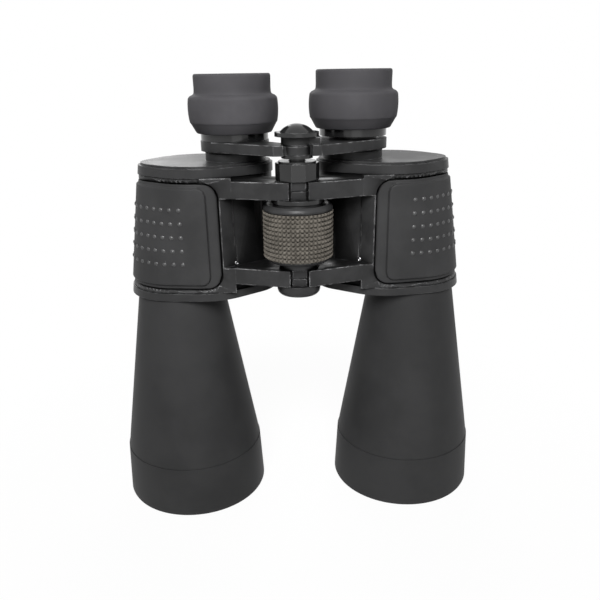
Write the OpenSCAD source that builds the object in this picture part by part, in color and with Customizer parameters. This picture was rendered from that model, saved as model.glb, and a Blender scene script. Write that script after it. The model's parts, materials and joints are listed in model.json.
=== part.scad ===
// Porro-prism binoculars of the 60 mm class, standing on their objective hoods.
// Frame: Z up from the table, X to the right, -Y is the side with the focus wheel.
// The origin is on the table, midway between the two objective axes.
// Every module is drawn about the hinge axis, and the last lines move the whole
// part back so that the objective axes lie on Y = 0.

/* [Layout] */
// Objective axis to hinge axis, sideways
objective_x = 57.5; // [55:0.5:62]
// Objective axis to hinge axis, front to back
objective_back = 20.5; // [18.5:0.5:24]
// Eyepiece axis to hinge axis, sideways
eyepiece_x = 27.5; // [26:0.5:30]
// Eyepiece axis to hinge axis, front to back
eyepiece_back = 24; // [22:0.5:27]

/* [Objective barrels] */
// Outer radius of the hood at its rim
hood_r = 37; // [35:0.5:40]
// Length of the hood, from the rim to where the cone starts
hood_len = 27; // [24:0.5:32]
// How much narrower the hood is where the cone starts
hood_flare = 1.6; // [0.5:0.1:3]
// Height of the barrel, from the rim to the front cover
barrel_len = 112; // [105:1:125]
// Outer radius of the barrel under the front cover
barrel_top_r = 20.9; // [19:0.1:22]
// Wall of the barrel
barrel_wall = 2; // [1.4:0.1:3]
// Radius of the objective lens
objective_r = 31; // [30:0.1:32]
// Depth of the lens ring behind the rim
lens_recess = 19; // [15:0.5:22]
// Edge thickness of the objective lens
objective_edge = 4; // [3:0.1:6]

/* [Prism housings] */
// Height of the housing casting
housing_h = 52.4; // [51:0.2:58]
// Wall of the housing casting
housing_wall = 2.2; // [1.8:0.1:2.6]
// Thickness of the front cover plate
front_cover_t = 3.6; // [3:0.1:5]
// Thickness of the rear cover plate at its edge
rear_cover_t = 5; // [4:0.1:6]
// Radius of the housing round the eyepiece axis
eye_end_r = 16.5; // [16:0.1:18]
// Radius of the housing round the objective axis, at the front cover
objective_end_r = 23.7; // [23.4:0.1:26]
// How much the objective end narrows up to the rear cover
objective_end_draft = 9.1; // [7:0.1:9.6]
// Radius of the housing's middle bulge over the prisms, at the front cover
middle_r = 27; // [26.5:0.1:29]
// How much the middle bulge narrows up to the rear cover
middle_draft = 1.8; // [1:0.1:2.4]
// How far the cover plates stand out past the casting
cover_lip = 0.6; // [0.3:0.1:1]

/* [Grip pads] */
// Depth of the pocket that holds the rubber
pad_pocket = 1.2; // [0.8:0.1:1.5]
// How far the rubber's border stands out of the casting
pad_proud = 0.1; // [0.1:0.1:0.6]
// How far the raised panel stands out of the border
pad_panel = 0.9; // [0.8:0.1:1.6]
// Width of the groove round the pad
pad_groove = 0.7; // [0.5:0.1:1]
// Sideways place of the pad's inner edge
pad_edge_x = 35; // [34:0.5:37]
// Width of the flat border beside the raised panel
pad_border = 5.5; // [4:0.1:7]
// Height of casting left above and below the pad
pad_margin = 1.8; // [1.4:0.1:3]

/* [Hinge] */
// Height of one hinge arm
arm_h = 7.6; // [7:0.1:9]
// Height of the casting left above and below the arms
arm_inset = 2.6; // [1.6:0.1:4]
// Radius of the hinge lugs
lug_r = 9.4; // [9:0.1:10.5]
// Gap between the two arms' front faces
arm_gap = 8.6; // [8.2:0.1:9.6]
// Radius of the hinge axle and of the hinge sleeve
axle_r = 5.5; // [5.2:0.1:6]
// Clearance in the turning and sliding fits
running_gap = 0.05; // [0.03:0.01:0.08]
// Gap between faces that turn over each other
face_gap = 0.2; // [0.1:0.05:0.3]
// Height of the front end cap
end_cap_h = 5.4; // [4:0.1:7]
// Radius of the front end cap
end_cap_r = 10.1; // [9:0.1:11]
// Radius of the tripod thread in the axle
tripod_r = 3.175; // [3.175]
// Depth of the tripod thread
tripod_depth = 10; // [8:0.5:12]

/* [Focus] */
// Radius of the focus wheel over its grip
wheel_r = 16; // [15:0.1:16.3]
// Height of the grip on the focus wheel
grip_h = 21.6; // [19:0.1:22]
// Thickness of the rubber grip on the wheel
grip_t = 1.4; // [1:0.1:2]
// Number of ridges on the grip
grip_rows = 11; // [8:1:14]
// Radius of the focus shaft
shaft_r = 3.5; // [3:0.1:4]
// Height of the faceted collar over the rear arms
collar_h = 8; // [7:0.1:10]
// Radius of the faceted collar over its corners
collar_r = 9.7; // [9:0.1:10.5]
// Travel of the eyepieces when the wheel turns
focus_travel = 9; // [6:0.5:10]

/* [Eyepieces] */
// Thickness of the eyepiece arms
bridge_t = 4.4; // [4:0.1:5]
// Outer radius of the arm's ring round the eyepiece
bridge_ring_r = 15.8; // [15.5:0.1:16.5]
// Radius of the bridge lugs round the focus shaft
bridge_lug_r = 6.9; // [6:0.1:8]
// Outer radius of the eyepiece barrel that slides in the rear cover
eye_barrel_r = 12; // [11.5:0.1:12.5]
// Wall of the eyepiece barrel and of the lens tube
eye_wall = 1; // [0.8:0.1:1.2]
// Outer radius of the guide boss on the rear cover
guide_r = 14; // [13.5:0.1:15]
// Radius of the glossy neck under the eyecup
neck_r = 15.5; // [15:0.1:16]
// How far the right eyepiece is screwed out by its dioptre ring
dioptre_out = 1.2; // [0.8:0.1:2]
// Rise of the eyecup over the eyepiece arms
eyecup_rise = 28.2; // [26:0.2:32]
// Outer radius of the eyecup at its top
eyecup_r = 17.3; // [16.8:0.1:18]
// Outer radius of the eyecup's thick band
eyecup_band_r = 20.5; // [19.5:0.1:21.5]
// Height of the eyecup's upper collar
eyecup_collar_h = 8; // [7:0.2:10]
// Rubber wall of the eyecup
eyecup_wall = 2; // [1.4:0.1:2.4]

/* [Hidden] */
$fn = 96;
RIGHT = 1;
LEFT = -1;
// A hull's own parts stay coarse enough to keep the facets few.
hull_fn = 72;

// Heights, from the table up.
housing_z0 = barrel_len + front_cover_t;
housing_z1 = housing_z0 + housing_h;
rear_cover_z1 = housing_z1 + rear_cover_t;
lower_arm_z0 = housing_z0 + arm_inset + 1.6;
lower_arm_z1 = lower_arm_z0 + arm_h;
upper_arm_z1 = housing_z1 - arm_inset + 1.2;
upper_arm_z0 = upper_arm_z1 - arm_h;
sleeve_head_h = 1.8;
axle_head_h = 2.6;
wheel_z0 = lower_arm_z1 + axle_head_h + face_gap;
wheel_z1 = upper_arm_z0 - sleeve_head_h - face_gap;
grip_z0 = wheel_z0 + (wheel_z1 - wheel_z0 - grip_h) * 0.42;
collar_z0 = upper_arm_z1 + face_gap;
collar_z1 = collar_z0 + collar_h;
bridge_z0 = collar_z1 + 2.6;
bridge_z1 = bridge_z0 + bridge_t;
guide_z1 = bridge_z0 - 0.9;
upper_lug_h = 3.4;
upper_lug_z0 = bridge_z0 + bridge_t - 0.6 + face_gap;
upper_lug_z1 = upper_lug_z0 + upper_lug_h;
cap_flange_h = 1.7;

// Radii that follow from the fits.
guide_bore_r = eye_barrel_r + running_gap;
lens_tube_r = eye_barrel_r - eye_wall - running_gap;
eye_lens_r = lens_tube_r - eye_wall;
inner_wall = pad_pocket + housing_wall;
spigot_r = barrel_top_r - barrel_wall - 0.4;
spigot_h = front_cover_t + 1.5;
// The rubber pad lies in its pocket with this much glue under it.
pad_seat = 0.03;
// The pad's window is cut right through the housing, and past its outer side.
pad_reach = 20;
// The form that cuts the pocket and the rubber's back runs past the housing by this.
form_reach = 2;
window_reach = 120;
// The upright frame between the arms, beside the pad.
frame_w = 5.7;
frame_y = -1.4;
// Length of a cutter that runs past a tube at both ends.
cutter_h = 60;
sleeve_head_r = 12;

// The shelf halfway up the housing, and the prisms on its two faces.
shelf_t = 2;
shelf_ledge = 0.8;
shelf_z0 = housing_z0 + housing_h / 2 - 1;
prism_half = 15.8;
prism_w = 16.4;

// The light path: objective axis to the far prism axis to eyepiece axis. The two
// steps are equal and square to each other, as two Porro prisms make them.
axis_step = [eyepiece_x - objective_x, eyepiece_back - objective_back];
axis_shift = norm(axis_step) / sqrt(2);
axis_angle = atan2(axis_step[1], axis_step[0]);
turn_x = objective_x + axis_shift * cos(axis_angle - 45);
turn_y = objective_back + axis_shift * sin(axis_angle - 45);

// Draws a right-hand piece where it stands, or its mirror image on the left.
module side(hand) {
  if (hand == RIGHT) children();
  else mirror([1, 0, 0]) children();
}

// The prism housing's form between two heights, grown or shrunk all round.
// Three upright cones wrap the eyepiece end, the prisms and the objective end.
module housing_form(z0, z1, grow) {
  t0 = (z0 - barrel_len) / (rear_cover_z1 - barrel_len);
  t1 = (z1 - barrel_len) / (rear_cover_z1 - barrel_len);
  h = z1 - z0;
  translate([0, 0, z0]) hull() {
    translate([eyepiece_x, eyepiece_back, 0])
      cylinder(h = h, r = eye_end_r + grow, $fn = hull_fn);
    translate([(eyepiece_x + objective_x) / 2 + 1.5, eyepiece_back + 1, 0])
      cylinder(h = h, r1 = middle_r - middle_draft * t0 + grow,
               r2 = middle_r - middle_draft * t1 + grow, $fn = hull_fn);
    translate([objective_x, objective_back + 2.7, 0])
      cylinder(h = h, r1 = objective_end_r - objective_end_draft * t0 + grow,
               r2 = objective_end_r - objective_end_draft * t1 + grow, $fn = hull_fn);
  }
}

// A rounded window seen from the front, that runs out past the housing's outer side.
module pad_window(x_in, z0, z1, corner) {
  x_out = objective_x + objective_end_r + pad_reach;
  translate([0, window_reach, 0]) rotate([90, 0, 0]) linear_extrude(window_reach * 2) {
    translate([x_in + corner, z0]) square([x_out - x_in - corner, z1 - z0]);
    translate([x_in, z0 + corner]) square([corner * 2, z1 - z0 - corner * 2]);
    translate([x_in + corner, z0 + corner]) circle(corner);
    translate([x_in + corner, z1 - corner]) circle(corner);
  }
}

// ---- Objective barrels ----

hood_top_r = hood_r - hood_flare;
lens_z = lens_recess + 3;
lens_seat_z = lens_z + objective_edge;
// The barrel's flange meets the hood here, behind the lens.
flange_z = max(hood_len, lens_seat_z + 1);
rim_round = 0.9;
lens_bulge = 2.6;
lens_ring_r = objective_r - 1.8;
// The ring's inner edge meets the lens where its curved face has this height.
lens_ring_z1 = lens_z - lens_bulge * (1 - pow(lens_ring_r / objective_r, 2)) - 0.02;
// Outer radius of the cone at a height.
function cone_r(z) =
  hood_top_r + (barrel_top_r - hood_top_r) * (z - hood_len) / (barrel_len - hood_len);

// The hood is a ring of its own, which screws on over the end of the barrel.
module hood(hand) {
  color([0.10, 0.10, 0.105]) side(hand)
    translate([objective_x, objective_back, 0]) rotate_extrude() polygon([
      [hood_r - barrel_wall, 0],
      [hood_r - rim_round, 0],
      [hood_r - rim_round * 0.3, rim_round * 0.3],
      [hood_r, rim_round],
      [hood_r - 0.1, 3],
      [hood_top_r + 0.35, flange_z - 2.2],
      [hood_top_r + 0.2, flange_z],
      [objective_r + 0.1, flange_z],
      [objective_r + 0.1, lens_recess],
      [hood_r - barrel_wall - hood_flare * 0.7, lens_recess]
    ]);
}

// The cone, with the flange that clamps the lens and the spigot for the housing.
module barrel(hand) {
  color([0.10, 0.10, 0.105]) side(hand)
    translate([objective_x, objective_back, 0]) rotate_extrude() polygon([
      [objective_r + 0.05, lens_seat_z],
      [objective_r + 0.05, flange_z],
      [hood_top_r - 0.1, flange_z],
      [hood_top_r - 0.15, flange_z + 0.6],
      [cone_r(flange_z + 6), flange_z + 6],
      [barrel_top_r, barrel_len - 0.05],
      [spigot_r, barrel_len - 0.05],
      [spigot_r, barrel_len + spigot_h],
      [spigot_r - barrel_wall, barrel_len + spigot_h],
      [spigot_r - barrel_wall, barrel_len - 4],
      [cone_r(flange_z + 5) - barrel_wall, flange_z + 5],
      [cone_r(flange_z + 2) - barrel_wall, flange_z + 1.4],
      [objective_r - 1.6, flange_z + 1.4],
      [objective_r - 1.6, lens_seat_z]
    ]);
}

module objective_lens(hand) {
  steps = 8;
  color([0.35, 0.25, 0.42, 0.6]) side(hand) translate([objective_x, objective_back, 0])
    rotate_extrude() polygon(concat(
      [for (i = [0 : steps]) let (r = objective_r * i / steps)
        [r, lens_z - lens_bulge * (1 - pow(r / objective_r, 2))]],
      [[objective_r, lens_seat_z - 0.02], [0, lens_seat_z - 0.02]]
    ));
}

module lens_ring(hand) {
  color([0.08, 0.08, 0.085]) side(hand) translate([objective_x, objective_back, 0])
    difference() {
      translate([0, 0, lens_recess])
        cylinder(h = lens_ring_z1 - lens_recess, r = objective_r + 0.05);
      translate([0, 0, lens_recess - 1])
        cylinder(h = lens_ring_z1 - lens_recess + 2, r = lens_ring_r);
    }
}

// ---- Prism housings ----

module front_cover(hand) {
  color([0.09, 0.09, 0.095]) side(hand) difference() {
    housing_form(barrel_len, housing_z0, cover_lip);
    translate([objective_x, objective_back, barrel_len - 1])
      cylinder(h = front_cover_t + 2, r = spigot_r + 0.05);
  }
}

module rear_cover(hand) {
  crown = 1.0;
  color([0.09, 0.09, 0.095]) side(hand) difference() {
    union() {
      housing_form(housing_z1, rear_cover_z1 - crown, cover_lip);
      housing_form(rear_cover_z1 - crown, rear_cover_z1, -0.5);
      translate([eyepiece_x, eyepiece_back, housing_z1])
        cylinder(h = guide_z1 - housing_z1, r = guide_r);
    }
    translate([eyepiece_x, eyepiece_back, housing_z1 - 1])
      cylinder(h = guide_z1 - housing_z1 + 2, r = guide_bore_r);
  }
}

// Plan of one hinge arm, from its square front corner back to the casting.
module arm_plan() {
  front = -lug_r - 0.1;
  polygon([
    [arm_gap / 2, front],
    [pad_edge_x - frame_w, frame_y],
    [pad_edge_x - 1, 8],
    [eyepiece_x, eyepiece_back - 6],
    [8, 10.6],
    [3.4, lug_r],
    [arm_gap / 2, 0]
  ]);
}

// One hinge arm with its half-height lug. The other half's lug turns in the
// round pocket that is left under or over it.
module hinge_arm(z0, lug_z0, lug_z1) {
  difference() {
    translate([0, 0, z0]) linear_extrude(arm_h) arm_plan();
    translate([0, 0, z0 - 1]) cylinder(h = arm_h + 2, r = lug_r + 0.35);
  }
  difference() {
    translate([0, 0, lug_z0]) union() {
      cylinder(h = lug_z1 - lug_z0, r = lug_r);
      intersection() {
        linear_extrude(lug_z1 - lug_z0) arm_plan();
        cylinder(h = lug_z1 - lug_z0, r = lug_r + 1);
      }
    }
    translate([0, 0, lug_z0 - 1]) cylinder(h = arm_h + 2, r = axle_r + running_gap);
  }
}

// The left half carries the upper half of each lug pair, the right half the lower.
module hinge_arms(hand) {
  half = (arm_h - face_gap) / 2;
  for (z0 = [lower_arm_z0, upper_arm_z0])
    if (hand == LEFT) hinge_arm(z0, z0 + arm_h - half, z0 + arm_h);
    else hinge_arm(z0, z0, z0 + half);
}

module housing(hand) {
  pad_z0 = housing_z0 + pad_margin;
  pad_z1 = housing_z1 - pad_margin;
  color([0.11, 0.11, 0.115]) side(hand) {
    difference() {
      union() {
        housing_form(housing_z0, housing_z1, 0);
        // The upright frame beside the pad, flush with the arms' front faces.
        translate([0, 0, housing_z0]) linear_extrude(housing_h) polygon([
          [pad_edge_x - frame_w, frame_y],
          [pad_edge_x + 8, frame_y],
          [pad_edge_x + 8, 12],
          [pad_edge_x - frame_w, 12]
        ]);
        hinge_arms(hand);
      }
      // Prism chambers, either side of the shelf ledge.
      housing_form(housing_z0 - 1, shelf_z0, -inner_wall - shelf_ledge);
      housing_form(shelf_z0, housing_z1 + 1, -inner_wall);
      // The bore for the barrel's spigot.
      translate([objective_x, objective_back, housing_z0 - 1])
        cylinder(h = spigot_h - front_cover_t + 1.1, r = spigot_r + 0.05);
      // The pocket for the grip pad.
      intersection() {
        difference() {
          housing_form(housing_z0 - 1, housing_z1 + 1, 6);
          housing_form(housing_z0 - form_reach, housing_z1 + form_reach, -pad_pocket);
        }
        pad_window(pad_edge_x, pad_z0, pad_z1, 7);
      }
    }
  }
}

module grip_pad(hand) {
  z0 = housing_z0 + pad_margin + pad_groove;
  z1 = housing_z1 - pad_margin - pad_groove;
  x_in = pad_edge_x + pad_groove;
  color([0.13, 0.13, 0.135]) side(hand) difference() {
    union() {
      intersection() {
        housing_form(housing_z0, housing_z1, pad_proud);
        pad_window(x_in, z0, z1, 7 - pad_groove);
      }
      intersection() {
        housing_form(housing_z0, housing_z1, pad_proud + pad_panel);
        pad_window(x_in + pad_border, z0 + 1.8, z1 - 1.8, 3.5);
      }
    }
    housing_form(housing_z0 - form_reach, housing_z1 + form_reach, pad_seat - pad_pocket);
  }
}

// ---- Prisms ----

module prism_shelf(hand) {
  color([0.35, 0.35, 0.37]) side(hand) difference() {
    housing_form(shelf_z0, shelf_z0 + shelf_t, -inner_wall - 0.1);
    for (p = [[objective_x, objective_back], [turn_x, turn_y], [eyepiece_x, eyepiece_back]])
      translate([p[0], p[1], shelf_z0 - 1]) cylinder(h = shelf_t + 2, r = 7);
  }
}

// Side view of a right-angle prism with ground ends and a ground roof edge.
module prism_profile(grow) {
  edge = axis_shift - prism_half;
  polygon([
    [-prism_half - grow, 0],
    [prism_half + grow, 0],
    [prism_half + grow, edge + grow * 0.4],
    [1.4 + grow * 0.4, axis_shift - 1.4 + grow],
    [-1.4 - grow * 0.4, axis_shift - 1.4 + grow],
    [-prism_half - grow, edge + grow * 0.4]
  ]);
}

// Stands a profile on the shelf between two axes, roof up (1) or roof down (-1).
module on_shelf(from, to, up) {
  mid = (from + to) / 2;
  z = up > 0 ? shelf_z0 + shelf_t : shelf_z0;
  translate([mid[0], mid[1], z])
    rotate([0, 0, atan2(to[1] - from[1], to[0] - from[0])])
      rotate([up > 0 ? 90 : -90, 0, 0]) children();
}

module prism(hand, from, to, up) {
  color([0.75, 0.80, 0.85, 0.7]) side(hand) on_shelf(from, to, up)
    linear_extrude(prism_w, center = true) prism_profile(0);
}

module clip(from, to, up) {
  on_shelf(from, to, up) linear_extrude(5, center = true) difference() {
    prism_profile(0.6);
    prism_profile(0);
  }
}

module prism_clips(hand) {
  color([0.7, 0.7, 0.72]) side(hand) {
    clip([objective_x, objective_back], [turn_x, turn_y], 1);
    clip([turn_x, turn_y], [eyepiece_x, eyepiece_back], -1);
  }
}

// ---- Eyepiece bridge ----

bridge_front = -7.6;
bridge_inner_x = 10.4;

// Plan of an arm: a bar whose straight front face runs from the hub to the
// outside of the eyepiece ring.
module bridge_plan() {
  ring_x = eyepiece_x;
  ring_y = eyepiece_back;
  side_x = ring_x + bridge_ring_r * 0.72;
  side_y = ring_y - bridge_ring_r * 0.69;
  polygon([
    [bridge_inner_x - 4.2, bridge_front],
    [bridge_inner_x, bridge_front],
    [side_x, side_y],
    [ring_x, ring_y],
    [ring_x - bridge_ring_r * 0.8, ring_y - bridge_ring_r * 0.6],
    [bridge_inner_x - 4.2, 4]
  ]);
}

module bridge_arm(hand) {
  lug_z0 = hand == LEFT ? bridge_z0 : upper_lug_z0;
  lug_h = hand == LEFT ? bridge_t - 0.6 : upper_lug_h;
  color([0.10, 0.10, 0.105]) side(hand) difference() {
    union() {
      difference() {
        union() {
          translate([0, 0, bridge_z0]) linear_extrude(bridge_t) bridge_plan();
          translate([eyepiece_x, eyepiece_back, bridge_z0])
            cylinder(h = bridge_t, r = bridge_ring_r);
        }
        translate([0, 0, bridge_z0 - 1])
          cylinder(h = bridge_t + 2, r = bridge_lug_r + 0.35);
      }
      // The lug on the shaft and the web that ties it to the bar.
      translate([0, 0, lug_z0]) cylinder(h = lug_h, r = bridge_lug_r);
      translate([bridge_lug_r - 2, -5, min(lug_z0, bridge_z0)])
        cube([bridge_inner_x - bridge_lug_r + 1.6, 7, lug_z0 + lug_h - min(lug_z0, bridge_z0)]);
    }
    translate([0, 0, bridge_z0 - 1])
      cylinder(h = 20, r = shaft_r + running_gap);
    // Room for the other arm's lug.
    if (hand == RIGHT) translate([0, 0, bridge_z0 - 1])
      cylinder(h = upper_lug_z0 - bridge_z0 + 1, r = bridge_lug_r + 0.35);
    translate([eyepiece_x, eyepiece_back, bridge_z0 - 1])
      cylinder(h = bridge_t + 2, r = eye_barrel_r + 0.02);
  }
}

// ---- Eyepieces ----

// The eyepiece barrel stays in its guide by this much when it is right out.
guide_hold = 13;
barrel_drop = focus_travel + guide_hold;
field_z = bridge_z0 - barrel_drop + 2.4;
lens_edge = 2;
eye_lens_edge = 2.4;
lens_rise = 2;
cup_z1 = bridge_z1 + eyecup_rise;
cup_band_z1 = cup_z1 - eyecup_collar_h - 1.2;
neck_h = 3.2;
cup_chamfer_h = 4.6;
neck_top_z = cup_band_z1 - 1.2;
sleeve_r = neck_r - 1;

module eye_barrel(hand) {
  color([0.06, 0.06, 0.065]) side(hand) translate([eyepiece_x, eyepiece_back, 0])
    difference() {
      translate([0, 0, bridge_z0 - barrel_drop])
        cylinder(h = bridge_z1 - bridge_z0 + barrel_drop, r = eye_barrel_r);
      translate([0, 0, bridge_z0 - barrel_drop - 1])
        cylinder(h = cutter_h, r = lens_tube_r + running_gap);
    }
}

// How far an eyepiece's screwed parts stand out: the right one by its dioptre ring.
function lift(hand) = hand == RIGHT ? dioptre_out : 0;

module lens_tube(hand) {
  z0 = bridge_z0 - barrel_drop + 1.6 + lift(hand);
  z1 = neck_top_z + lift(hand);
  color([0.05, 0.05, 0.055]) side(hand) translate([eyepiece_x, eyepiece_back, 0])
    rotate_extrude() polygon([
      [eye_lens_r - 0.8, z0],
      [lens_tube_r, z0],
      [lens_tube_r, z1],
      [eye_lens_r - 0.8, z1],
      [eye_lens_r - 0.8, z1 - 0.8],
      [eye_lens_r, z1 - 0.8],
      [eye_lens_r, z0 + 0.8],
      [eye_lens_r - 0.8, z0 + 0.8]
    ]);
}

// A small lens, flat below and domed above.
module small_lens(hand, z, edge, bulge) {
  ball_r = (pow(eye_lens_r, 2) + pow(bulge, 2)) / (2 * bulge);
  color([0.55, 0.62, 0.70, 0.6]) side(hand) translate([eyepiece_x, eyepiece_back, 0])
    intersection() {
      translate([0, 0, z]) cylinder(h = edge + bulge, r = eye_lens_r - 0.02);
      translate([0, 0, z + edge + bulge - ball_r]) sphere(ball_r);
    }
}

module field_lens(hand) {
  small_lens(hand, field_z + lift(hand), lens_edge, lens_rise);
}

module eye_lens(hand) {
  z = neck_top_z + lift(hand) - 0.8 - eye_lens_edge - lens_rise;
  small_lens(hand, z, eye_lens_edge, lens_rise);
}

// The glossy ring under the eyecup, with the sleeve that carries the rubber.
module neck(hand) {
  z0 = bridge_z1 + 0.05 + lift(hand);
  z1 = neck_top_z + lift(hand);
  color([0.05, 0.05, 0.055]) side(hand) translate([eyepiece_x, eyepiece_back, 0])
    difference() {
      union() {
        translate([0, 0, z0]) cylinder(h = neck_h, r = neck_r);
        translate([0, 0, z0]) cylinder(h = z1 - z0, r = sleeve_r);
      }
      translate([0, 0, z0 - 1]) cylinder(h = cutter_h, r = lens_tube_r + running_gap);
    }
}

module eyecup(hand) {
  z0 = bridge_z1 + 0.05 + neck_h + lift(hand);
  z1 = cup_z1 + lift(hand);
  lip_z = z0 + cup_chamfer_h;
  band_z1 = cup_band_z1 + lift(hand);
  seat_z1 = neck_top_z + lift(hand);
  color([0.14, 0.14, 0.145]) side(hand) translate([eyepiece_x, eyepiece_back, 0])
    rotate_extrude() polygon([
      [sleeve_r + 0.02, z0 + 0.02],
      [neck_r + 1.8, z0 + 0.02],
      [eyecup_band_r - 0.9, lip_z - 0.3],
      [eyecup_band_r - 0.5, lip_z],
      [eyecup_band_r, lip_z + (band_z1 - lip_z) * 0.3],
      [eyecup_band_r, lip_z + (band_z1 - lip_z) * 0.7],
      [eyecup_band_r - 0.5, band_z1 - 0.9],
      [eyecup_band_r - 1.3, band_z1],
      [eyecup_r + 0.7, band_z1 + 0.4],
      [eyecup_r + 0.1, band_z1 + 1.1],
      [eyecup_r, band_z1 + 2],
      [eyecup_r, z1 - 0.8],
      [eyecup_r - 0.25, z1 - 0.2],
      [eyecup_r - 0.8, z1],
      [eyecup_r - eyecup_wall + 0.3, z1],
      [eyecup_r - eyecup_wall, z1 - 0.4],
      [eyecup_r - eyecup_wall, seat_z1 + 1.2],
      [lens_tube_r + 1, seat_z1 + 1.2],
      [lens_tube_r + 1, seat_z1 + 0.05],
      [sleeve_r + 0.02, seat_z1 + 0.05]
    ]);
}

// ---- Hinge and focus ----

// Headed pin through the lower lugs, with the tripod thread in its end.
module hinge_axle() {
  z0 = lower_arm_z0 - end_cap_h + 0.4;
  color([0.25, 0.25, 0.26]) difference() {
    union() {
      translate([0, 0, z0]) cylinder(h = lower_arm_z1 - z0, r = axle_r);
      translate([0, 0, lower_arm_z1]) cylinder(h = axle_head_h, r = lug_r - 0.6);
    }
    translate([0, 0, z0 - 1]) cylinder(h = tripod_depth + 1, r = tripod_r);
  }
}

module end_cap() {
  z1 = lower_arm_z0 - face_gap;
  z0 = z1 - end_cap_h + face_gap;
  color([0.07, 0.07, 0.075]) rotate_extrude() polygon([
    [axle_r + 0.02, z0],
    [end_cap_r - 2.4, z0],
    [end_cap_r - 1.1, z0 + 0.4],
    [end_cap_r - 0.3, z0 + 1.3],
    [end_cap_r, z0 + 2.4],
    [end_cap_r, z1],
    [axle_r + 0.02, z1]
  ]);
}

// Headed sleeve through the upper lugs; the focus shaft slides in it.
module hinge_sleeve() {
  color([0.06, 0.06, 0.065]) difference() {
    union() {
      translate([0, 0, upper_arm_z0 - sleeve_head_h])
        cylinder(h = sleeve_head_h, r = sleeve_head_r);
      translate([0, 0, upper_arm_z0]) cylinder(h = collar_z1 - upper_arm_z0 - 0.8, r = axle_r);
    }
    translate([0, 0, upper_arm_z0 - sleeve_head_h - 1])
      cylinder(h = cutter_h, r = shaft_r + running_gap);
  }
}

module tension_collar() {
  color([0.06, 0.06, 0.065]) difference() {
    union() {
      translate([0, 0, collar_z0]) cylinder(h = collar_h - 0.7, r = collar_r, $fn = 10);
      translate([0, 0, collar_z0]) cylinder(h = collar_h, r = collar_r - 1.4);
    }
    translate([0, 0, collar_z0 - 1]) cylinder(h = collar_h + 0.2, r = axle_r + 0.02);
    translate([0, 0, collar_z0 - 1]) cylinder(h = collar_h + 2, r = shaft_r + 0.4);
  }
}

// A turned core with a lip under the grip and a bright rim over it.
module focus_wheel() {
  core_r = wheel_r - grip_t;
  grip_z1 = grip_z0 + grip_h;
  color([0.10, 0.095, 0.09]) rotate_extrude() polygon([
    [shaft_r + running_gap, wheel_z0],
    [core_r - 3.2, wheel_z0],
    [core_r - 1, wheel_z0 + 0.5],
    [core_r + 0.3, grip_z0 - 0.5],
    [core_r + 0.3, grip_z0 - 0.05],
    [core_r, grip_z0 - 0.05],
    [core_r, grip_z1 + 0.05],
    [wheel_r - 0.3, grip_z1 + 0.05],
    [wheel_r - 0.2, grip_z1 + 0.9],
    [wheel_r - 0.8, grip_z1 + 1.9],
    [wheel_r - 1.7, wheel_z1 - 0.4],
    [wheel_r - 2.4, wheel_z1 - 0.6],
    [wheel_r - 2.9, wheel_z1 - 1.4],
    [sleeve_head_r - 0.6, wheel_z1 - 1.4],
    [sleeve_head_r - 0.9, wheel_z1],
    [shaft_r + running_gap, wheel_z1]
  ]);
}

module focus_grip() {
  core_r = wheel_r - grip_t;
  pitch = grip_h / grip_rows;
  color([0.28, 0.25, 0.22]) rotate_extrude() polygon(concat(
    [[core_r + 0.02, grip_z0]],
    [for (i = [0 : grip_rows - 1]) each [
      [wheel_r - 0.6, grip_z0 + pitch * i],
      [wheel_r - 0.6, grip_z0 + pitch * (i + 0.2)],
      [wheel_r, grip_z0 + pitch * (i + 0.38)],
      [wheel_r, grip_z0 + pitch * (i + 0.72)],
      [wheel_r - 0.6, grip_z0 + pitch * (i + 0.9)]
    ]],
    [[wheel_r - 0.6, grip_z0 + grip_h], [core_r + 0.02, grip_z0 + grip_h]]
  ));
}

module focus_shaft() {
  shoulder_h = 1.4;
  color([0.30, 0.30, 0.31]) union() {
    translate([0, 0, wheel_z0 + 2])
      cylinder(h = upper_lug_z1 + 2 - wheel_z0 - 2, r = shaft_r);
    translate([0, 0, bridge_z0 - shoulder_h]) cylinder(h = shoulder_h, r = bridge_lug_r);
  }
}

module bridge_cap() {
  z0 = upper_lug_z1 + face_gap;
  dome_r = 7.4;
  rise = 3.4;
  ball_r = (dome_r * dome_r + rise * rise) / (2 * rise);
  color([0.06, 0.06, 0.065]) difference() {
    union() {
      translate([0, 0, z0]) cylinder(h = cap_flange_h, r = bridge_inner_x - 0.8);
      intersection() {
        translate([0, 0, z0]) cylinder(h = cap_flange_h + rise, r = dome_r);
        translate([0, 0, z0 + cap_flange_h + rise - ball_r]) sphere(ball_r);
      }
    }
    translate([0, 0, z0 - 1]) cylinder(h = 1 + 2 - face_gap, r = shaft_r + 0.02);
  }
}

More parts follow.
